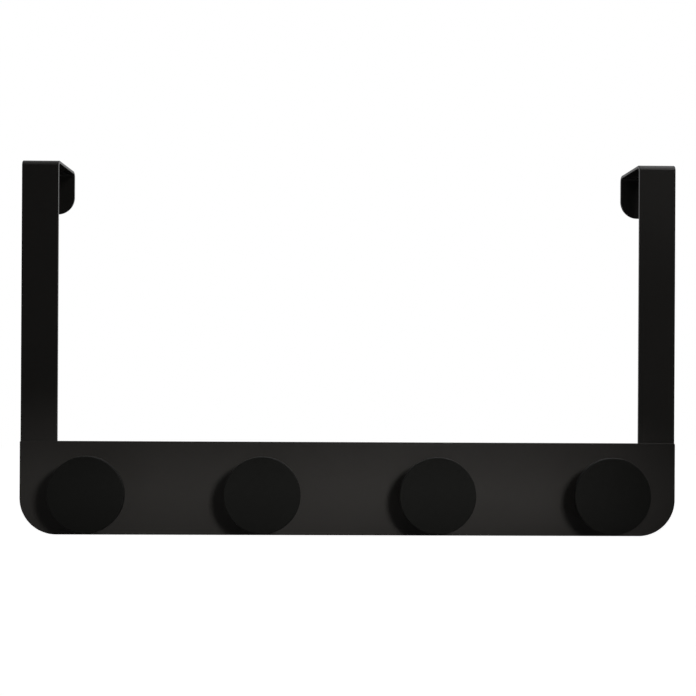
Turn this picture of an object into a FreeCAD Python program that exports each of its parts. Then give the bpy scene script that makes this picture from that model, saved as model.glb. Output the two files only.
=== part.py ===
# Over-door rack: a flat sheet-steel panel with four round knobs, carried by two
# straps that are folded over the top of a door.
#
# +X points right as seen by someone who faces the rack, -Y points towards that
# person and +Z points up. The origin is the middle of the door's top front edge:
# the door's front face is the plane Y = 0 and its top is the plane Z = 0.
import FreeCAD, Part
import math
import os

# Driving dimensions, in millimetres.

# Panel: one flat sheet, its two lower corners well rounded.
panel_width = 450.0
panel_height = 64.0
panel_thick = 1.5
panel_lower_corner = 25.0
panel_upper_corner = 1.0

# Straps: flat bar folded twice over the door and spot welded behind the panel's ends.
strap_width = 25.0
strap_thick = 2.0
strap_bend = 2.0  # inside radius of both folds
strap_drop = 190.6  # from the door's top down to the panel's top edge
strap_foot_corner = 3.0
door_room = 40.0  # clear distance between a strap's front leg and its flange
flange_length = 31.0  # from a strap's top face down to the flange's round end

# Spot welds: shallow marks of the electrode on a strap's back.
weld_mark_diameter = 5.0
weld_mark_depth = 0.15

# Knobs: mushroom shaped, a flat disc on a round stem.
knob_count = 4
knob_diameter = 50.0
knob_projection = 36.0  # from the panel's front to the knob's face
knob_disc_thick = 5.0
knob_face_chamfer = 0.7
knob_back_chamfer = 1.2
knob_stem_diameter = 16.0
knob_neck = 3.0  # width and height of the cone between the stem and the disc's back
knob_from_strap = 28.5  # from a strap's inner edge to the nearest knob's axis

# Screws: one low-headed machine screw from behind the panel into each stem.
screw_diameter = 5.0
screw_grip = 12.0  # length inside the stem
screw_head_diameter = 11.0
screw_head_rim = 1.0
screw_head_crown = 8.6  # diameter of the head's flat top
screw_head_room = 0.3  # between the head and the door's face
recess_span = 5.0
recess_slot = 1.1
recess_depth = 1.2
hole_play = 0.25  # radial, screw in the panel's hole
thread_play = 0.05  # radial, screw in the stem's bore
bore_tip_room = 2.0  # between the screw's tip and the bore's end

# Bumpers: small rubber discs on the panel's back, as thick as the straps.
bumper_diameter = 12.0
bumper_chamfer = 0.4
bumper_edge_room = 8.0  # between a bumper and the panel's bottom edge
bumper_strap_room = 8.0  # between a bumper's top and a strap's lower end

# Every cut sheet edge is slightly broken under its coat.
edge_break = 0.3

# Places that follow from the sizes above.
door_face = 0.0
door_top = 0.0
panel_back = door_face - strap_thick
panel_front = panel_back - panel_thick
panel_top = door_top - strap_drop
panel_bottom = panel_top - panel_height
strap_top = door_top + strap_thick
strap_centre = (panel_width - strap_width) / 2
strap_foot = panel_bottom + bumper_edge_room + bumper_diameter + bumper_strap_room
flange_end = strap_top - flange_length
knob_face = panel_front - knob_projection
knob_height = panel_bottom + panel_height / 2
knob_first = -(panel_width / 2 - strap_width - knob_from_strap)
knob_pitch = -2 * knob_first / (knob_count - 1)
screw_tip = panel_front - screw_grip
screw_head_height = strap_thick - screw_head_room
bumper_height = panel_bottom + bumper_edge_room + bumper_diameter / 2
bumper_outer = panel_width / 2 - panel_lower_corner

x_axis = FreeCAD.Vector(1, 0, 0)
y_axis = FreeCAD.Vector(0, 1, 0)
origin = FreeCAD.Vector(0, 0, 0)


def side_point(y, z):
    """A point of the strap's side profile."""
    return FreeCAD.Vector(0, y, z)


def fold(y, z, radius, start):
    """A quarter circle of the side profile about a centre, counter-clockwise from a start in degrees."""
    places = []
    for turn in (0, 45, 90):
        angle = math.radians(start + turn)
        places.append(side_point(y + radius * math.cos(angle), z + radius * math.sin(angle)))
    return Part.Arc(*places)


def line(start, end):
    return Part.LineSegment(start, end)


def turned(corners):
    """The solid that a half profile makes when it is turned about the Y axis: corners are (radius, y)."""
    points = [FreeCAD.Vector(radius, y, 0) for radius, y in corners]
    return Part.Face(Part.makePolygon([*points, points[0]])).revolve(origin, y_axis, 360)


def cylinder(radius, x, y_low, y_high, z):
    """A cylinder along Y."""
    return Part.makeCylinder(radius, y_high - y_low, FreeCAD.Vector(x, y_low, z), y_axis)


def block(low, high):
    """A box between two corners."""
    size = [b - a for a, b in zip(low, high)]
    return Part.makeBox(*size, FreeCAD.Vector(*low))


def is_sharp(shape, edge):
    """True where an edge's two faces meet at an angle, false where they run on smoothly."""
    faces = shape.ancestorsOfType(edge, Part.Face)
    if len(faces) != 2:
        return False
    middle = edge.valueAt((edge.FirstParameter + edge.LastParameter) / 2)
    normals = [face.normalAt(*face.Surface.parameter(middle)) for face in faces]
    return normals[0].getAngle(normals[1]) > math.radians(30)


def broken_edges(shape, thickness):
    """The sheet with all its cut edges broken, by less than half its thickness."""
    size = min(edge_break, 0.4 * thickness)
    return shape.makeChamfer(size, [edge for edge in shape.Edges if is_sharp(shape, edge)])


def knob_places():
    """The X of each knob's axis, from left to right."""
    return [knob_first + number * knob_pitch for number in range(knob_count)]


def make_panel():
    half = panel_width / 2
    sheet = block((-half, panel_front, panel_bottom), (half, panel_back, panel_top))
    corners = {panel_bottom: panel_lower_corner, panel_top: panel_upper_corner}
    for height, radius in corners.items():
        across = [
            edge
            for edge in sheet.Edges
            if all(abs(vertex.Z - height) < 0.01 for vertex in edge.Vertexes)
            and edge.BoundBox.YLength > panel_thick / 2
        ]
        sheet = sheet.makeFillet(radius, across)
    sheet = broken_edges(sheet, panel_thick)
    for x in knob_places():
        radius = screw_diameter / 2 + hole_play
        sheet = sheet.cut(cylinder(radius, x, panel_front - 1, panel_back + 1, knob_height))
    return sheet


def strap_profile():
    """The strap seen from its side: front leg, bridge over the door, and flange."""
    outer = strap_bend + strap_thick
    front = door_face - strap_thick
    back = door_face + door_room
    rear = back + strap_thick
    bend_front = door_face + strap_bend
    bend_back = back - strap_bend
    bend_height = door_top - strap_bend
    outline = [
        line(side_point(front, strap_foot), side_point(front, bend_height)),
        fold(bend_front, bend_height, outer, 90),
        line(side_point(bend_front, strap_top), side_point(bend_back, strap_top)),
        fold(bend_back, bend_height, outer, 0),
        line(side_point(rear, bend_height), side_point(rear, flange_end)),
        line(side_point(rear, flange_end), side_point(back, flange_end)),
        line(side_point(back, flange_end), side_point(back, bend_height)),
        fold(bend_back, bend_height, strap_bend, 0),
        line(side_point(bend_back, door_top), side_point(bend_front, door_top)),
        fold(bend_front, bend_height, strap_bend, 90),
        line(side_point(door_face, bend_height), side_point(door_face, strap_foot)),
        line(side_point(door_face, strap_foot), side_point(front, strap_foot)),
    ]
    return Part.Wire([curve.toShape() for curve in outline])


def flange_corners():
    """What is cut from the flange's end to leave it fully round."""
    half = strap_width / 2
    near = door_face + door_room - 1
    far = door_face + door_room + strap_thick + 1
    end = block((-half, near, flange_end), (half, far, flange_end + half))
    return end.cut(cylinder(half, 0, near, far, flange_end + half))


def weld_marks():
    """Two rows of two shallow round marks on the back of a strap's lower end."""
    reach = weld_mark_diameter / 2
    ball = (reach**2 + weld_mark_depth**2) / (2 * weld_mark_depth)
    overlap = panel_top - strap_foot
    marks = []
    for x in (-strap_width / 4, strap_width / 4):
        for share in (0.25, 0.75):
            place = FreeCAD.Vector(x, door_face + ball - weld_mark_depth, strap_foot + share * overlap)
            marks.append(Part.makeSphere(ball, place))
    return marks


def make_strap(centre):
    half = strap_width / 2
    strap = Part.Face(strap_profile()).extrude(x_axis * strap_width)
    strap.translate(x_axis * -half)
    strap = strap.cut(flange_corners())
    foot = [
        edge
        for edge in strap.Edges
        if edge.BoundBox.ZMax < strap_foot + 0.01 and edge.BoundBox.XLength < 0.01
    ]
    strap = strap.makeFillet(strap_foot_corner, foot)
    strap = broken_edges(strap, strap_thick)
    for mark in weld_marks():
        strap = strap.cut(mark)
    strap.translate(x_axis * centre)
    return strap


def make_knob(x):
    rim = knob_diameter / 2
    stem = knob_stem_diameter / 2
    bore = screw_diameter / 2 + thread_play
    disc_back = knob_face + knob_disc_thick
    bore_end = screw_tip - bore_tip_room
    knob = turned(
        [
            (0, knob_face),
            (rim - knob_face_chamfer, knob_face),
            (rim, knob_face + knob_face_chamfer),
            (rim, disc_back - knob_back_chamfer),
            (rim - knob_back_chamfer, disc_back),
            (stem + knob_neck, disc_back),
            (stem, disc_back + knob_neck),
            (stem, panel_front),
            (bore, panel_front),
            (bore, bore_end),
            (0, bore_end),
        ]
    )
    knob.translate(FreeCAD.Vector(x, 0, knob_height))
    return knob


def cross_recess(head_top):
    """The cross that a screwdriver fits."""
    long, short = recess_span / 2, recess_slot / 2
    bottom = head_top - recess_depth
    cross = block((-long, bottom, -short), (long, head_top + 1, short))
    return cross.fuse(block((-short, bottom, -long), (short, head_top + 1, long)))


def make_screw(x):
    shank = screw_diameter / 2
    head = screw_head_diameter / 2
    head_top = panel_back + screw_head_height
    screw = turned(
        [
            (0, head_top),
            (0, screw_tip),
            (shank, screw_tip),
            (shank, panel_back),
            (head, panel_back),
            (head, panel_back + screw_head_rim),
            (screw_head_crown / 2, head_top),
        ]
    )
    screw = screw.cut(cross_recess(head_top))
    screw.translate(FreeCAD.Vector(x, 0, knob_height))
    return screw


def make_bumper(x):
    bumper = cylinder(bumper_diameter / 2, x, panel_back, door_face, bumper_height)
    rim = [edge for edge in bumper.Edges if edge.BoundBox.YMin > door_face - 0.01]
    return bumper.makeChamfer(bumper_chamfer, rim)


pieces = {
    "panel": make_panel(),
    "strap_left": make_strap(-strap_centre),
    "strap_right": make_strap(strap_centre),
    "bumper_left": make_bumper(-bumper_outer),
    "bumper_middle": make_bumper(0),
    "bumper_right": make_bumper(bumper_outer),
}
for number, place in enumerate(knob_places(), start=1):
    pieces[f"knob_{number}"] = make_knob(place)
    pieces[f"screw_{number}"] = make_screw(place)

os.makedirs("parts", exist_ok=True)
for name, shape in pieces.items():
    shape.exportStep(f"parts/{name}.step")
    print(name, "valid", shape.isValid(), "solids", len(shape.Solids), "volume", round(shape.Volume, 1))
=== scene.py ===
"""Over-door rack: a coated sheet-steel panel with round knobs, hung from two folded straps.

+X points right as seen by someone who faces the rack, -Y towards that person and +Z up.
The front face of the door is the plane Y = 0 and the top of the door is the plane Z = 0.
"""

import math
from typing import NamedTuple

import bmesh
import bpy
from mathutils import Matrix, Vector


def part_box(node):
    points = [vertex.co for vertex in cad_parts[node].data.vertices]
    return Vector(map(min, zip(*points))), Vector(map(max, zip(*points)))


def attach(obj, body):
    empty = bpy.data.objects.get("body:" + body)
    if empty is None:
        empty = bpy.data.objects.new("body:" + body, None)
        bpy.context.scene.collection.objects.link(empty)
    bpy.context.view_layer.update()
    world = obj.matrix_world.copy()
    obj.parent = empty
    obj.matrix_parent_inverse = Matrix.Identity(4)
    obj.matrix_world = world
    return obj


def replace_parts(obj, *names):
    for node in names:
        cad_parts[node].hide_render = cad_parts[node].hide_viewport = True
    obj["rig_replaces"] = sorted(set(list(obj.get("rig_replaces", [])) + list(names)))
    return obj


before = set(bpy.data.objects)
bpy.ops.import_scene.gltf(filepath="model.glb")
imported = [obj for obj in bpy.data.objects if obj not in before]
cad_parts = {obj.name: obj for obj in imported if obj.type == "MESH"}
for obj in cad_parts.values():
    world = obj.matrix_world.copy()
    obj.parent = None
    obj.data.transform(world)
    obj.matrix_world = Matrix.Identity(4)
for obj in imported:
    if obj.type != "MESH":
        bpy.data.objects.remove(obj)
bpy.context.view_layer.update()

bl_info = {
    "name": "Over-door rack",
    "version": (1, 0, 0),
    "blender": (4, 5, 0),
    "location": "3D View > Sidebar > Rack",
    "description": "Models a coated over-door rack with round knobs, piece by piece",
    "category": "Add Mesh",
}

BODY = "root"
KNOBS = sorted(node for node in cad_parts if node.startswith("knob_"))
SCREWS = sorted(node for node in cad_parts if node.startswith("screw_"))
BUMPERS = sorted(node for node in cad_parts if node.startswith("bumper_"))
LAMPS = ("key", "fill", "side", "high", "top_right", "top_left", "back")

MILLIMETRE = 0.001  # in metres, Blender's own unit
NEAR = 0.02 * MILLIMETRE  # lengths that differ by less agree
TOUCHING = 0.01 * MILLIMETRE  # corners that lie closer are merged
ON_PLANE = 0.001 * MILLIMETRE  # corners that lie closer to a cutting plane are on it
SPARE = 1 * MILLIMETRE  # how far a cutting tool reaches past its piece
SMOOTH_ANGLE = math.radians(40)
PARALLEL = 0.99  # cosine above which a face looks in a direction
WELD_ROWS = (0.25, 0.75)  # heights of the weld marks, as shares of the strap's overlap

NOISE_RANGE = (0.3, 0.7)  # the range that noise seldom leaves
SENSOR_WIDTH = 36  # of the camera, in millimetres

# The rack mirrors dim surroundings in front of it and white ones behind it. They change over
# between two directions, given by their part along Y.
DIM_LEVEL = 0.06
DIM_UNTIL = -0.6
WHITE_FROM = 0.3


def length(name, description, millimetres):
    """A length that the sidebar shows, with its default in millimetres."""
    return bpy.props.FloatProperty(
        name=name,
        description=description,
        default=millimetres * MILLIMETRE,
        min=0,
        precision=5,
        subtype="DISTANCE",
        unit="LENGTH",
    )


def share(name, description, default):
    """A number from 0 to 1."""
    return bpy.props.FloatProperty(
        name=name, description=description, default=default, min=0, max=1, subtype="FACTOR"
    )


def colour(name, description, default):
    """A colour, in linear values."""
    return bpy.props.FloatVectorProperty(
        name=name,
        description=description,
        default=default,
        size=3,
        min=0,
        max=1,
        subtype="COLOR",
    )


def angle(name, description, degrees):
    """An angle that the sidebar shows, with its default in degrees."""
    return bpy.props.FloatProperty(
        name=name,
        description=description,
        default=math.radians(degrees),
        subtype="ANGLE",
        unit="ROTATION",
    )


def power(name, description, watts):
    """The power of a lamp."""
    return bpy.props.FloatProperty(
        name=name, description=description, default=watts, min=0, subtype="POWER", unit="POWER"
    )


def place(name, description, millimetres):
    """A point in the rack's frame, with its default in millimetres."""
    return bpy.props.FloatVectorProperty(
        name=name,
        description=description,
        default=[value * MILLIMETRE for value in millimetres],
        size=3,
        subtype="TRANSLATION",
        unit="LENGTH",
    )


class SheetSettings(bpy.types.PropertyGroup):
    """Sizes of the panel and the straps."""

    edge_round: length("Edge rounding", "Radius of every cut edge under its coat", 0.3)
    lower_corner: length("Lower corner", "Radius of the panel's lower corners", 25)
    upper_corner: length("Upper corner", "Radius of the panel's upper corners", 1)
    hole_diameter: length("Screw hole", "Diameter of the panel's holes for the screws", 5.5)
    strap_thick: length("Strap thickness", "Thickness of the folded bar", 2)
    strap_bend: length("Strap bend", "Inside radius of both folds", 2)
    foot_corner: length("Foot corner", "Radius of the corners at a strap's lower end", 3)
    weld_diameter: length("Weld mark", "Diameter of the electrode marks on a strap's back", 5)
    weld_depth: length("Weld mark depth", "Depth of the electrode marks", 0.15)


class KnobSettings(bpy.types.PropertyGroup):
    """Sizes of the knobs, of the screws that hold them and of the bumpers."""

    disc_thick: length("Disc thickness", "Thickness of the knob's disc", 5)
    face_round: length("Face rounding", "Radius of the disc's front edge", 0.7)
    back_round: length("Back rounding", "Radius of the disc's back edge", 1.2)
    stem_diameter: length("Stem", "Diameter of the stem behind the disc", 16)
    neck_round: length("Neck", "Radius of the fillet between the stem and the disc", 3)
    bore_diameter: length("Bore", "Diameter of the screw's bore in the stem", 5.1)
    bore_depth: length("Bore depth", "Depth of the screw's bore in the stem", 14)
    shank_diameter: length("Screw", "Outer diameter of the screw's thread", 5)
    head_rim: length("Head rim", "Height of the straight rim of the screw's head", 1)
    head_crown: length("Head crown", "Diameter of the flat top of the screw's head", 8.6)
    head_round: length("Head rounding", "Radius of both edges of the screw's head", 0.3)
    recess_span: length("Recess span", "Span of the cross recess", 5)
    recess_slot: length("Recess slot", "Width of the cross recess's slots", 1.1)
    recess_depth: length("Recess depth", "Depth of the cross recess", 1.2)
    thread_pitch: length("Thread pitch", "Distance between two turns of the thread", 0.8)
    thread_depth: length("Thread depth", "Depth of the screw's thread", 0.45)
    bumper_round: length("Bumper rounding", "Radius of the bumpers' rim", 0.4)


class FinishSettings(bpy.types.PropertyGroup):
    """Colours and textures of the four finishes."""

    coat_colour: colour("Coat", "Colour of the satin powder coat", (0.0178, 0.0168, 0.0157))
    coat_roughness: share("Coat roughness", "Roughness of the powder coat", 0.17)
    coat_grain: length("Coat grain", "Width of the ripples in the powder coat", 0.7)
    knob_colour: colour("Knob", "Colour of the matte knobs", (0.003, 0.003, 0.0026))
    knob_roughness: share("Knob roughness", "Roughness of the knobs", 0.85)
    knob_grain: length("Knob grain", "Width of the knobs' fine matte texture", 0.25)
    zinc_colour: colour("Zinc", "Colour of the plated screws", (0.55, 0.56, 0.58))
    zinc_roughness: share("Zinc roughness", "Roughness of the plated screws", 0.31)
    rubber_colour: colour("Rubber", "Colour of the bumpers", (0.012, 0.012, 0.012))
    rubber_roughness: share("Rubber roughness", "Roughness of the bumpers", 0.8)


class StageSettings(bpy.types.PropertyGroup):
    """The camera, the lamps and the floor."""

    camera_place: place("Camera", "Where the camera stands", (-17.02, -661.87, -136.2))
    camera_yaw: angle("Yaw", "Turn of the camera about the vertical", -0.8105)
    camera_pitch: angle("Pitch", "Tilt of the camera above the horizon", 0.032)
    camera_roll: angle("Roll", "Roll of the camera about its view", -0.3121)
    camera_lens: bpy.props.FloatProperty(
        name="Lens",
        description="Focal length on a 36 mm sensor",
        default=49.6271,
        min=1,
        unit="CAMERA",
    )
    camera_shift: bpy.props.FloatVectorProperty(
        name="Shift",
        description="Shift of the frame, in frame widths",
        default=(0.0141, 0.02057),
        size=2,
    )
    door_height: length("Door height", "Height of the door's top above the floor", 2000)
    floor_size: length("Floor size", "Width and depth of the floor", 40000)
    floor_roughness: share("Floor roughness", "Roughness of the floor", 0.9)
    floor_glow: share("Floor glow", "Glow that keeps the floor white for the camera", 0.9)
    background: colour("Background", "Colour of the background and the floor", (1, 1, 1))
    ambient: share("Ambient", "Level of the even light from all round", 0.09)
    key_place: place("Key lamp", "Centre of the key lamp and of the beam", (140, -670, -35))
    key_size: length("Key size", "Width and height of the key lamp", 160)
    key_power: power("Key power", "Power of the key lamp", 0.45)
    beam_size: length("Beam source", "Diameter of the beam's source", 85)
    beam_width: length("Beam width", "Width of the beam where it meets the panel", 512)
    beam_height: length("Beam height", "Height of the beam where it meets the panel", 95)
    beam_blend: share("Beam blend", "Share of the beam's width in which it fades", 0.15)
    beam_shift: place("Beam shift", "From the panel's middle to the beam's", (-20, 0, -4.5))
    beam_power: power("Beam power", "Power of the beam along the panel", 23)
    fill_place: place("Fill lamp", "Centre of the lamp low at the left", (-400, -700, -800))
    fill_size: length("Fill size", "Width and height of the lamp low at the left", 300)
    fill_power: power("Fill power", "Power of the lamp low at the left", 0.35)
    side_place: place("Side lamp", "Centre of the weak lamp at the right", (475, -760, 200))
    side_size: length("Side size", "Width and height of the weak lamp at the right", 300)
    side_power: power("Side power", "Power of the weak lamp at the right", 0.08)
    high_place: place("High lamp", "Centre of the lamp high at the right", (600, -760, 500))
    high_size: length("High size", "Width and height of the lamp high at the right", 250)
    high_power: power("High power", "Power of the lamp high at the right", 0.3)
    top_right_place: place("Top right lamp", "Centre, above the right strap", (420, -260, 600))
    top_right_size: length("Top right size", "Width of the lamp above the right strap", 300)
    top_right_power: power("Top right power", "Power of the lamp above the right strap", 3.2)
    top_left_place: place("Top left lamp", "Centre, above the left strap", (-400, -260, 600))
    top_left_size: length("Top left size", "Width of the lamp above the left strap", 300)
    top_left_power: power("Top left power", "Power of the lamp above the left strap", 0.7)
    top_depth: length("Top depth", "Depth of both lamps above the straps", 900)
    back_place: place("Back lamp", "Centre of the lamp behind the rack", (900, 800, 350))
    back_size: length("Back size", "Width and height of the lamp behind the rack", 600)
    back_power: power("Back power", "Power of the lamp behind the rack", 7)


def deselect():
    """Leaves edit mode with nothing selected."""
    if bpy.context.mode != "OBJECT":
        bpy.ops.object.mode_set(mode="OBJECT")
    bpy.ops.object.select_all(action="DESELECT")


def select_only(*pieces):
    """Selects some pieces and makes the first one active."""
    deselect()
    for piece in pieces:
        piece.select_set(True)
    bpy.context.view_layer.objects.active = pieces[0]


def begin(add, **where):
    """Adds a primitive at its size and place, and opens it in edit mode."""
    deselect()
    add(**where)
    bpy.ops.object.transform_apply(location=True, rotation=True, scale=True)
    piece = bpy.context.active_object
    bpy.ops.object.mode_set(mode="EDIT")
    return piece


def begin_round(radius, low, high, axis, vertices):
    """Adds a cylinder along Y between two depths, and opens it in edit mode."""
    return begin(
        bpy.ops.mesh.primitive_cylinder_add,
        vertices=vertices,
        radius=radius,
        depth=high - low,
        location=(axis[0], (low + high) / 2, axis[1]),
        rotation=(math.pi / 2, 0, 0),
    )


def begin_block(low, high):
    """Adds a box between two corners, and opens it in edit mode."""
    low, high = Vector(low), Vector(high)
    return begin(
        bpy.ops.mesh.primitive_cube_add, size=1, location=(low + high) / 2, scale=high - low
    )


def choose(kind, test):
    """Selects only the edges or faces of the open mesh that pass a test."""
    bpy.ops.mesh.select_mode(type=kind)
    bpy.ops.mesh.select_all(action="DESELECT")
    data = bpy.context.edit_object.data
    mesh = bmesh.from_edit_mesh(data)
    items = {"EDGE": mesh.edges, "FACE": mesh.faces}[kind]
    found = [item for item in items if test(item)]
    if not found:
        raise RuntimeError(f"nothing to select on {bpy.context.edit_object.name}")
    for item in found:
        item.select_set(True)
    mesh.select_flush_mode()
    bmesh.update_edit_mesh(data)


def near(one, other):
    """True where two lengths agree."""
    return abs(one - other) < NEAR


def from_axis(point, axis):
    """Distance of a point from a line along Y."""
    return math.hypot(point.x - axis[0], point.z - axis[1])


def faces_towards(direction):
    """A test for the faces that look in one direction."""
    return lambda face: face.normal.dot(Vector(direction)) > PARALLEL


def ring_at(radius, y, axis):
    """A test for the edges of a circle about a line along Y."""
    slack = radius / 50

    def on_ring(corner):
        return near(corner.co.y, y) and abs(from_axis(corner.co, axis) - radius) < slack

    return lambda edge: all(on_ring(corner) for corner in edge.verts)


def corner_edges(y_low, y_high, z):
    """A test for a sheet's short edges through its thickness, at one height."""

    def test(edge):
        first, second = (corner.co for corner in edge.verts)
        across = near(min(first.y, second.y), y_low) and near(max(first.y, second.y), y_high)
        return across and near(first.z, z) and near(second.z, z)

    return test


def extrude(move):
    """Extrudes the selected faces by a move."""
    bpy.ops.mesh.extrude_region_move(TRANSFORM_OT_translate={"value": move})


def round_edges(radius, segments):
    """Rounds the selected edges."""
    bpy.ops.mesh.bevel(
        offset=radius,
        offset_type="OFFSET",
        segments=segments,
        profile=0.5,
        affect="EDGES",
        clamp_overlap=False,
    )


def apply_modifier(piece, kind, **settings):
    """Adds a modifier to a piece, sets it up and applies it."""
    select_only(piece)
    modifier = piece.modifiers.new(kind.title(), kind)
    for name, value in settings.items():
        setattr(modifier, name, value)
    bpy.ops.object.modifier_apply(modifier=modifier.name)


def break_edges(piece, radius):
    """Rounds every sharp edge of a sheet a little."""
    apply_modifier(
        piece,
        "BEVEL",
        width=radius,
        segments=3,
        limit_method="ANGLE",
        angle_limit=SMOOTH_ANGLE,
        use_clamp_overlap=False,
    )


def cut_away(piece, tool):
    """Cuts one solid out of another and removes the tool."""
    apply_modifier(piece, "BOOLEAN", operation="DIFFERENCE", solver="EXACT", object=tool)
    bpy.data.objects.remove(tool)


def complete(piece, node, material):
    """Smooths a piece, gives it its finish and puts it in the place of a solid of the frame."""
    select_only(piece)
    bpy.ops.object.shade_smooth_by_angle(angle=SMOOTH_ANGLE)
    apply_modifier(piece, "WEIGHTED_NORMAL", keep_sharp=True)
    piece.name = piece.data.name = f"finished_{node}"
    piece.data.materials.clear()
    piece.data.materials.append(material)
    stand_in(piece, node)


def stand_in(piece, node):
    """Lets a finished piece ride in the place of a solid of the frame."""
    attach(piece, BODY)
    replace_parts(piece, node)


def copy_to(piece, node, move):
    """A copy of a finished piece, with its own mesh, in the place of another solid."""
    select_only(piece)
    bpy.ops.object.duplicate(linked=False)
    copy = bpy.context.active_object
    copy.parent = None
    bpy.ops.transform.translate(value=move)
    bpy.ops.object.transform_apply(location=True, rotation=True, scale=True)
    copy.name = copy.data.name = f"finished_{node}"
    del copy["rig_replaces"]  # the copy still names the first piece's solid
    stand_in(copy, node)


def centre_of(node):
    """The middle of a solid of the frame."""
    low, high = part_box(node)
    return (low + high) / 2


class Noise(NamedTuple):
    """Noise on a piece: how wide its spots are, how detailed, and how much it changes."""

    width: float
    detail: float
    change: float


def new_material(name):
    """An empty material, its node links and its shader."""
    material = bpy.data.materials.new(name)
    material.use_nodes = True
    tree = material.node_tree
    return material, tree, tree.nodes["Principled BSDF"]


def spots(tree, noise):
    """The value of noise on object coordinates."""
    where = tree.nodes.new("ShaderNodeTexCoord")
    texture = tree.nodes.new("ShaderNodeTexNoise")
    texture.inputs["Scale"].default_value = 1 / noise.width
    texture.inputs["Detail"].default_value = noise.detail
    tree.links.new(where.outputs["Object"], texture.inputs["Vector"])
    return texture.outputs["Fac"]


def vary_colour(tree, shader, base, noise):
    """Makes a colour a little darker and paler, by shares of itself."""
    darker = [channel * (1 - noise.change) for channel in base]
    paler = [channel * (1 + noise.change) for channel in base]
    mix = tree.nodes.new("ShaderNodeMix")
    mix.data_type = "RGBA"
    mix.inputs["A"].default_value = (*darker, 1)
    mix.inputs["B"].default_value = (*paler, 1)
    tree.links.new(spots(tree, noise), mix.inputs["Factor"])
    tree.links.new(mix.outputs["Result"], shader.inputs["Base Color"])


def vary_roughness(tree, shader, roughness, noise):
    """Makes a roughness a little lower and higher."""
    spread = tree.nodes.new("ShaderNodeMapRange")
    spread.inputs["From Min"].default_value, spread.inputs["From Max"].default_value = NOISE_RANGE
    spread.inputs["To Min"].default_value = roughness - noise.change
    spread.inputs["To Max"].default_value = roughness + noise.change
    tree.links.new(spots(tree, noise), spread.inputs["Value"])
    tree.links.new(spread.outputs["Result"], shader.inputs["Roughness"])


def raise_grain(tree, shader, noise):
    """Raises the surface in spots, by the noise's change as a height."""
    bump = tree.nodes.new("ShaderNodeBump")
    bump.inputs["Strength"].default_value = 1
    bump.inputs["Distance"].default_value = noise.change
    tree.links.new(spots(tree, noise), bump.inputs["Height"])
    tree.links.new(bump.outputs["Normal"], shader.inputs["Normal"])


def make_finish(name, base, roughness, clouds, patches, grain, shine=0.5, metallic=0):
    """A finish with clouds in its colour, patches in its roughness and a raised grain."""
    material, tree, shader = new_material(name)
    shader.inputs["Specular IOR Level"].default_value = shine
    shader.inputs["Metallic"].default_value = metallic
    vary_colour(tree, shader, base, clouds)
    vary_roughness(tree, shader, roughness, patches)
    raise_grain(tree, shader, grain)
    return material


def powder_coat(finish):
    """Satin black powder coat: very low ripples, a little uneven in gloss."""
    return make_finish(
        "powder_coat",
        finish.coat_colour,
        finish.coat_roughness,
        clouds=Noise(width=40 * MILLIMETRE, detail=2, change=0.06),
        patches=Noise(width=6 * MILLIMETRE, detail=4, change=0.02),
        grain=Noise(width=finish.coat_grain, detail=2, change=0.0012 * MILLIMETRE),
        shine=0.125,
    )


def matte_knob(finish):
    """Matte black: a very fine, even texture."""
    return make_finish(
        "matte_knob",
        finish.knob_colour,
        finish.knob_roughness,
        clouds=Noise(width=9 * MILLIMETRE, detail=3, change=0.05),
        patches=Noise(width=3 * MILLIMETRE, detail=3, change=0.03),
        grain=Noise(width=finish.knob_grain, detail=1, change=0.004 * MILLIMETRE),
        shine=0.08,
    )


def zinc_plate(finish):
    """Bright zinc plate, cloudy and slightly worn."""
    return make_finish(
        "zinc_plate",
        finish.zinc_colour,
        finish.zinc_roughness,
        clouds=Noise(width=2 * MILLIMETRE, detail=4, change=0.12),
        patches=Noise(width=1 * MILLIMETRE, detail=5, change=0.09),
        grain=Noise(width=0.2 * MILLIMETRE, detail=3, change=0.003 * MILLIMETRE),
        metallic=1,
    )


def bumper_rubber(finish):
    """Dull moulded rubber."""
    return make_finish(
        "bumper_rubber",
        finish.rubber_colour,
        finish.rubber_roughness,
        clouds=Noise(width=1.5 * MILLIMETRE, detail=3, change=0.15),
        patches=Noise(width=0.8 * MILLIMETRE, detail=3, change=0.08),
        grain=Noise(width=0.15 * MILLIMETRE, detail=2, change=0.01 * MILLIMETRE),
        shine=0.2,
    )


def finish_of(context, make):
    """A finish, made once and then shared."""
    return bpy.data.materials.get(make.__name__) or make(context.scene.rack_finish)


class RACK_OT_panel(bpy.types.Operator):
    """Model the flat sheet that carries the knobs"""

    bl_idname = "rack.panel"
    bl_label = "Panel"

    def execute(self, context):
        sheet = context.scene.rack_sheet
        low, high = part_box("panel")
        panel = begin_block(low, high)
        choose("EDGE", corner_edges(low.y, high.y, low.z))
        round_edges(sheet.lower_corner, segments=32)
        choose("EDGE", corner_edges(low.y, high.y, high.z))
        round_edges(sheet.upper_corner, segments=8)
        bpy.ops.object.mode_set(mode="OBJECT")
        break_edges(panel, sheet.edge_round)
        for screw in SCREWS:
            radius, axis = sheet.hole_diameter / 2, centre_of(screw).xz
            hole = begin_round(radius, low.y - SPARE, high.y + SPARE, axis, vertices=48)
            cut_away(panel, hole)
        complete(panel, "panel", finish_of(context, powder_coat))
        return {"FINISHED"}


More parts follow.
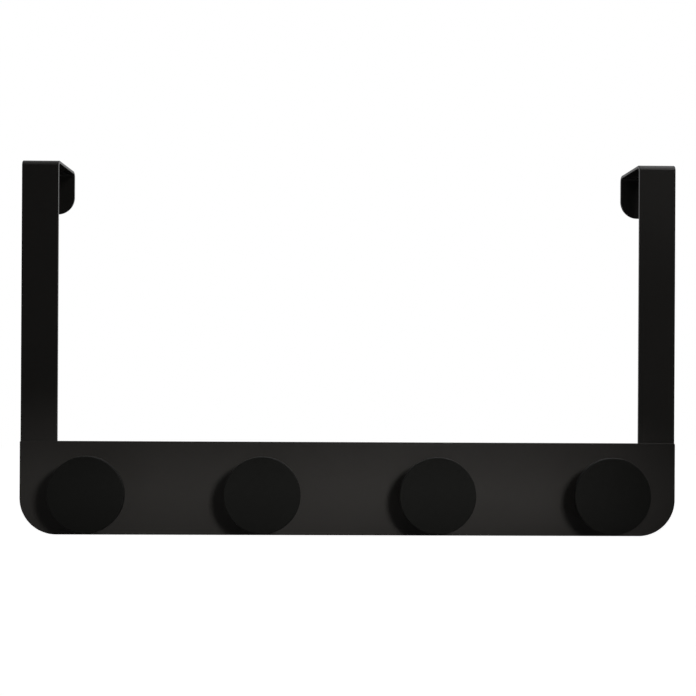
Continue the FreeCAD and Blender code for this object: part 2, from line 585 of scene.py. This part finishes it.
class RACK_OT_straps(bpy.types.Operator):
    """Model the two straps that fold over the top of the door"""

    bl_idname = "rack.straps"
    bl_label = "Straps"

    def execute(self, context):
        sheet = context.scene.rack_sheet
        low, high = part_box("strap_left")
        flange_end = self.find_flange_end(high.y - sheet.strap_thick / 2)
        strap = self.fold(low, high, flange_end, sheet)
        self.round_ends(low, high, flange_end, sheet)
        bpy.ops.object.mode_set(mode="OBJECT")
        break_edges(strap, sheet.edge_round)
        self.mark_welds(strap, low, high, sheet)
        complete(strap, "strap_left", finish_of(context, powder_coat))
        across = centre_of("strap_right") - centre_of("strap_left")
        copy_to(strap, "strap_right", across)
        return {"FINISHED"}

    def find_flange_end(self, depth):
        """Height of the flange's round end: the lowest corner of the frame's strap past a depth."""
        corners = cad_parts["strap_left"].data.vertices
        return min(corner.co.z for corner in corners if corner.co.y > depth)

    def fold(self, low, high, flange_end, sheet):
        """The bar, folded twice: front leg, bridge over the door, and flange."""
        outer = sheet.strap_bend + sheet.strap_thick
        top = high.z - outer
        strap = begin_block(low, (high.x, low.y + sheet.strap_thick, top))
        choose("FACE", faces_towards((0, 0, 1)))
        self.bend(low.y + outer, top)
        extrude((0, high.y - low.y - 2 * outer, 0))
        self.bend(high.y - outer, top)
        extrude((0, 0, flange_end - top))
        return strap

    def bend(self, y, z):
        """Turns the open end of the bar by a quarter circle about a line along X."""
        bpy.ops.mesh.spin(steps=16, angle=math.pi / 2, center=(0, y, z), axis=(1, 0, 0))

    def round_ends(self, low, high, flange_end, sheet):
        """Rounds the lower end's corners a little and the flange's end fully."""
        thick = sheet.strap_thick
        choose("EDGE", corner_edges(low.y, low.y + thick, low.z))
        round_edges(sheet.foot_corner, segments=10)
        choose("EDGE", corner_edges(high.y - thick, high.y, flange_end))
        round_edges((high.x - low.x) / 2, segments=32)
        bpy.ops.mesh.select_all(action="SELECT")
        bpy.ops.mesh.remove_doubles(threshold=TOUCHING)
        bpy.ops.mesh.normals_make_consistent(inside=False)

    def mark_welds(self, strap, low, high, sheet):
        """Sinks two rows of two shallow round marks into the back of the lower end."""
        door_face = low.y + sheet.strap_thick
        middle = (low.x + high.x) / 2
        aside = (high.x - low.x) / 4
        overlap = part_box("panel")[1].z - low.z
        reach = sheet.weld_diameter / 2
        ball = (reach**2 + sheet.weld_depth**2) / (2 * sheet.weld_depth)
        centres = [
            Vector((x, door_face + ball - sheet.weld_depth, low.z + row * overlap))
            for x in (middle - aside, middle + aside)
            for row in WELD_ROWS
        ]
        marks = [self.electrode(centre, ball, door_face + sheet.weld_depth) for centre in centres]
        select_only(*marks)
        bpy.ops.object.join()
        cut_away(strap, marks[0])
        self.sharpen_rims(strap, centres, reach, door_face)

    def electrode(self, centre, radius, top):
        """The round tip of a welding electrode, cut off flat above the strap's back."""
        tip = begin(
            bpy.ops.mesh.primitive_uv_sphere_add,
            segments=48,
            ring_count=180,
            radius=radius,
            location=centre,
            rotation=(math.pi / 2, 0, 0),
        )
        bpy.ops.mesh.bisect(
            plane_co=(0, top, 0),
            plane_no=(0, 1, 0),
            use_fill=True,
            clear_outer=True,
            threshold=ON_PLANE,
        )
        return tip

    def sharpen_rims(self, strap, centres, reach, door_face):
        """Keeps the flat back plain around the marks, although they are shallow."""
        rims = [ring_at(reach, door_face, centre.xz) for centre in centres]
        select_only(strap)
        bpy.ops.object.mode_set(mode="EDIT")
        choose("EDGE", lambda edge: any(on_rim(edge) for on_rim in rims))
        bpy.ops.mesh.mark_sharp()
        bpy.ops.object.mode_set(mode="OBJECT")


class RACK_OT_knobs(bpy.types.Operator):
    """Model the round knobs"""

    bl_idname = "rack.knobs"
    bl_label = "Knobs"

    def execute(self, context):
        sizes = context.scene.rack_knob
        first = KNOBS[0]
        low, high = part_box(first)
        axis = centre_of(first).xz
        rim = (high.x - low.x) / 2
        stem = sizes.stem_diameter / 2
        disc_back = low.y + sizes.disc_thick
        knob = begin_round(rim, low.y, disc_back, axis, vertices=128)
        choose("FACE", faces_towards((0, 1, 0)))
        bpy.ops.mesh.inset(thickness=rim - stem)
        extrude((0, high.y - disc_back, 0))
        bpy.ops.mesh.inset(thickness=stem - sizes.bore_diameter / 2)
        extrude((0, -sizes.bore_depth, 0))
        choose("EDGE", ring_at(rim, low.y, axis))
        round_edges(sizes.face_round, segments=5)
        choose("EDGE", ring_at(rim, disc_back, axis))
        round_edges(sizes.back_round, segments=6)
        choose("EDGE", ring_at(stem, disc_back, axis))
        round_edges(sizes.neck_round, segments=8)
        bpy.ops.object.mode_set(mode="OBJECT")
        complete(knob, first, finish_of(context, matte_knob))
        for node in KNOBS[1:]:
            copy_to(knob, node, centre_of(node) - centre_of(first))
        return {"FINISHED"}


class RACK_OT_screws(bpy.types.Operator):
    """Model the low-headed machine screws behind the panel"""

    bl_idname = "rack.screws"
    bl_label = "Screws"

    def execute(self, context):
        sizes = context.scene.rack_knob
        first = SCREWS[0]
        low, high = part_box(first)
        axis = centre_of(first).xz
        head = (high.x - low.x) / 2
        shank = sizes.shank_diameter / 2
        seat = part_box("panel")[1].y
        rim_top = seat + sizes.head_rim
        screw = begin_round(head, seat, rim_top, axis, vertices=64)
        choose("FACE", faces_towards((0, 1, 0)))
        extrude((0, high.y - rim_top, 0))
        taper = sizes.head_crown / (2 * head)
        bpy.ops.transform.resize(value=(taper, 1, taper), center_override=centre_of(first))
        choose("EDGE", ring_at(head, rim_top, axis))
        round_edges(sizes.head_round, segments=4)
        choose("EDGE", ring_at(sizes.head_crown / 2, high.y, axis))
        round_edges(sizes.head_round, segments=4)
        choose("FACE", faces_towards((0, -1, 0)))
        bpy.ops.mesh.inset(thickness=head - shank)
        extrude((0, low.y - seat, 0))
        self.cut_thread(low.y, seat, shank, axis, sizes)
        bpy.ops.object.mode_set(mode="OBJECT")
        self.cut_recess(screw, high.y, axis, sizes)
        complete(screw, first, finish_of(context, zinc_plate))
        for node in SCREWS[1:]:
            copy_to(screw, node, centre_of(node) - centre_of(first))
        return {"FINISHED"}

    def cut_thread(self, tip, seat, shank, axis, sizes):
        """Divides the shank along its length and draws it in along a helix."""
        rows_per_turn = 6
        pitch = sizes.thread_pitch
        thread_length = seat - tip - pitch

        def lengthwise(edge):
            first, second = (corner.co for corner in edge.verts)
            return near(min(first.y, second.y), tip) and near(max(first.y, second.y), seat)

        choose("EDGE", lengthwise)
        bpy.ops.mesh.subdivide(number_cuts=round((seat - tip) / pitch * rows_per_turn))
        data = bpy.context.edit_object.data
        mesh = bmesh.from_edit_mesh(data)
        for corner in mesh.verts:
            along = corner.co.y - tip
            radius = from_axis(corner.co, axis)
            on_shank = abs(radius - shank) < shank / 10
            if along > thread_length or not on_shank:
                continue
            around = math.atan2(corner.co.z - axis[1], corner.co.x - axis[0]) / (2 * math.pi)
            phase = (along / pitch + around) % 1
            groove = 1 - abs(2 * phase - 1)
            fade = min(1, (thread_length - along) / pitch)
            kept = 1 - sizes.thread_depth * groove * fade / radius
            corner.co.x = axis[0] + (corner.co.x - axis[0]) * kept
            corner.co.z = axis[1] + (corner.co.z - axis[1]) * kept
        bmesh.update_edit_mesh(data)

    def cut_recess(self, screw, top, axis, sizes):
        """Cuts the cross that a screwdriver fits."""
        long, short = sizes.recess_span / 2, sizes.recess_slot / 2
        for half_x, half_z in ((long, short), (short, long)):
            slot = begin_block(
                (axis[0] - half_x, top - sizes.recess_depth, axis[1] - half_z),
                (axis[0] + half_x, top + SPARE, axis[1] + half_z),
            )
            cut_away(screw, slot)


class RACK_OT_bumpers(bpy.types.Operator):
    """Model the small rubber discs that keep the panel off the door"""

    bl_idname = "rack.bumpers"
    bl_label = "Bumpers"

    def execute(self, context):
        sizes = context.scene.rack_knob
        first = BUMPERS[0]
        low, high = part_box(first)
        axis = centre_of(first).xz
        radius = (high.x - low.x) / 2
        bumper = begin_round(radius, low.y, high.y, axis, vertices=64)
        choose("EDGE", ring_at(radius, high.y, axis))
        round_edges(sizes.bumper_round, segments=5)
        bpy.ops.object.mode_set(mode="OBJECT")
        complete(bumper, first, finish_of(context, bumper_rubber))
        for node in BUMPERS[1:]:
            copy_to(bumper, node, centre_of(node) - centre_of(first))
        return {"FINISHED"}


class RACK_OT_stage(bpy.types.Operator):
    """Set up the floor, the lamps, the background and the camera"""

    bl_idname = "rack.stage"
    bl_label = "Stage"

    def execute(self, context):
        stage = context.scene.rack_stage
        self.lay_floor(stage)
        self.light_world(context.scene, stage)
        middle = centre_of("panel")
        for name in LAMPS:
            data = bpy.data.lights.new(f"{name}_lamp", "AREA")
            data.shape = "RECTANGLE"
            data.size = getattr(stage, f"{name}_size")
            data.size_y = stage.top_depth if name.startswith("top") else data.size
            data.energy = getattr(stage, f"{name}_power")
            self.hang_lamp(data, getattr(stage, f"{name}_place"), middle)
        self.hang_beam(stage, middle + Vector(stage.beam_shift))
        self.stand_camera(context.scene, stage)
        context.scene.view_settings.view_transform = "Standard"
        return {"FINISHED"}

    def lay_floor(self, stage):
        """A pale floor at the foot of the door, which stays white for the camera."""
        deselect()
        foot = (0, 0, -stage.door_height)
        bpy.ops.mesh.primitive_plane_add(size=stage.floor_size, location=foot)
        floor = bpy.context.active_object
        floor.name = "floor"
        material, tree, shader = new_material("pale_floor")
        shader.inputs["Base Color"].default_value = (*stage.background, 1)
        shader.inputs["Roughness"].default_value = stage.floor_roughness
        shader.inputs["Emission Color"].default_value = (*stage.background, 1)
        ray = tree.nodes.new("ShaderNodeLightPath")
        glow = tree.nodes.new("ShaderNodeMath")
        glow.operation = "MULTIPLY"
        glow.inputs[1].default_value = stage.floor_glow
        tree.links.new(ray.outputs["Is Camera Ray"], glow.inputs[0])
        tree.links.new(glow.outputs["Value"], shader.inputs["Emission Strength"])
        floor.data.materials.append(material)

    def light_world(self, scene, stage):
        """White behind the rack for what is seen or mirrored, and an even light on the rest."""
        scene.world = scene.world or bpy.data.worlds.new("studio")
        scene.world.use_nodes = True
        tree = scene.world.node_tree
        tree.nodes.clear()
        new, link = tree.nodes.new, tree.links.new
        soft, white = new("ShaderNodeBackground"), new("ShaderNodeBackground")
        soft.inputs["Color"].default_value = (*stage.background, 1)
        soft.inputs["Strength"].default_value = stage.ambient
        white.inputs["Color"].default_value = (*stage.background, 1)
        ray = new("ShaderNodeLightPath").outputs
        seen = self.greater(tree, ray["Is Camera Ray"], ray["Is Transmission Ray"])
        shown = self.greater(tree, seen, ray["Is Glossy Ray"])
        link(self.greater(tree, self.white_behind(tree), seen), white.inputs["Strength"])
        mix, output = new("ShaderNodeMixShader"), new("ShaderNodeOutputWorld")
        link(shown, mix.inputs["Fac"])
        link(soft.outputs["Background"], mix.inputs[1])
        link(white.outputs["Background"], mix.inputs[2])
        link(mix.outputs["Shader"], output.inputs["Surface"])

    def white_behind(self, tree):
        """A level that rises from the dim front to the white back of the surroundings."""
        where = tree.nodes.new("ShaderNodeTexCoord")
        parts = tree.nodes.new("ShaderNodeSeparateXYZ")
        level = tree.nodes.new("ShaderNodeMapRange")
        level.interpolation_type = "SMOOTHSTEP"
        level.inputs["From Min"].default_value = DIM_UNTIL
        level.inputs["From Max"].default_value = WHITE_FROM
        level.inputs["To Min"].default_value = DIM_LEVEL
        level.inputs["To Max"].default_value = 1
        tree.links.new(where.outputs["Generated"], parts.inputs["Vector"])
        tree.links.new(parts.outputs["Y"], level.inputs["Value"])
        return level.outputs["Result"]

    def greater(self, tree, one, other):
        """The greater of two values."""
        node = tree.nodes.new("ShaderNodeMath")
        node.operation = "MAXIMUM"
        tree.links.new(one, node.inputs[0])
        tree.links.new(other, node.inputs[1])
        return node.outputs["Value"]

    def hang_lamp(self, data, where, target, flatten=1):
        """Hangs a lamp that isn't seen itself, turned to a target with its sides level."""
        away = (Vector(where) - target).normalized()
        up = away.cross(Vector((1, 0, 0))).normalized()
        if up.z < 0:
            up.negate()
        turn = Matrix((up.cross(away).normalized(), up, away)).transposed().to_4x4()
        lamp = bpy.data.objects.new(data.name, data)
        bpy.context.scene.collection.objects.link(lamp)
        flat = Matrix.Diagonal((1, flatten, 1, 1))
        lamp.matrix_world = Matrix.Translation(where) @ turn @ flat
        lamp.visible_camera = False

    def hang_beam(self, stage, target):
        """A soft flat beam, shaped to the panel."""
        data = bpy.data.lights.new("beam", "SPOT")
        distance = (Vector(stage.key_place) - target).length
        data.spot_size = 2 * math.atan(stage.beam_width / 2 / distance)
        data.spot_blend = stage.beam_blend
        data.shadow_soft_size = stage.beam_size / 2
        data.energy = stage.beam_power
        self.hang_lamp(data, stage.key_place, target, stage.beam_height / stage.beam_width)

    def stand_camera(self, scene, stage):
        """The photograph's view."""
        data = bpy.data.cameras.new("camera")
        data.sensor_width = SENSOR_WIDTH
        data.lens = stage.camera_lens
        data.shift_x, data.shift_y = stage.camera_shift
        data.clip_start, data.clip_end = 10 * MILLIMETRE, 100000 * MILLIMETRE
        camera = bpy.data.objects.new("camera", data)
        scene.collection.objects.link(camera)
        turn = (
            Matrix.Rotation(stage.camera_yaw, 4, "Z")
            @ Matrix.Rotation(stage.camera_pitch, 4, "X")
            @ Matrix.Rotation(stage.camera_roll, 4, "Y")
            @ Matrix.Rotation(math.pi / 2, 4, "X")
        )
        camera.matrix_world = Matrix.Translation(stage.camera_place) @ turn
        scene.camera = camera


class RACK_PT_sidebar(bpy.types.Panel):
    """The rack's pieces and their settings"""

    bl_label = "Over-door rack"
    bl_idname = "RACK_PT_sidebar"
    bl_space_type = "VIEW_3D"
    bl_region_type = "UI"
    bl_category = "Rack"

    def draw(self, context):
        for operator in OPERATORS:
            self.layout.operator(operator.bl_idname)
        for name in SETTINGS:
            settings = getattr(context.scene, name)
            column = self.layout.column(heading=settings.__doc__)
            for setting in settings.bl_rna.properties.keys():
                if setting not in ("rna_type", "name"):
                    column.prop(settings, setting)


SETTINGS = {
    "rack_sheet": SheetSettings,
    "rack_knob": KnobSettings,
    "rack_finish": FinishSettings,
    "rack_stage": StageSettings,
}
OPERATORS = (
    RACK_OT_stage,
    RACK_OT_panel,
    RACK_OT_straps,
    RACK_OT_knobs,
    RACK_OT_screws,
    RACK_OT_bumpers,
)


def register():
    """Makes the settings, the operators and the panel known."""
    for kind in (*SETTINGS.values(), *OPERATORS, RACK_PT_sidebar):
        bpy.utils.register_class(kind)
    for name, kind in SETTINGS.items():
        setattr(bpy.types.Scene, name, bpy.props.PointerProperty(type=kind))


def unregister():
    """Takes away what register made known."""
    for name in SETTINGS:
        delattr(bpy.types.Scene, name)
    for kind in reversed((*SETTINGS.values(), *OPERATORS, RACK_PT_sidebar)):
        bpy.utils.unregister_class(kind)


def main():
    """Makes the whole rack and its stage, and writes both boxes."""
    register()
    bpy.ops.rack.stage()
    bpy.ops.rack.panel()
    bpy.ops.rack.straps()
    bpy.ops.rack.knobs()
    bpy.ops.rack.screws()
    bpy.ops.rack.bumpers()
    deselect()


if __name__ == "__main__":
    main()
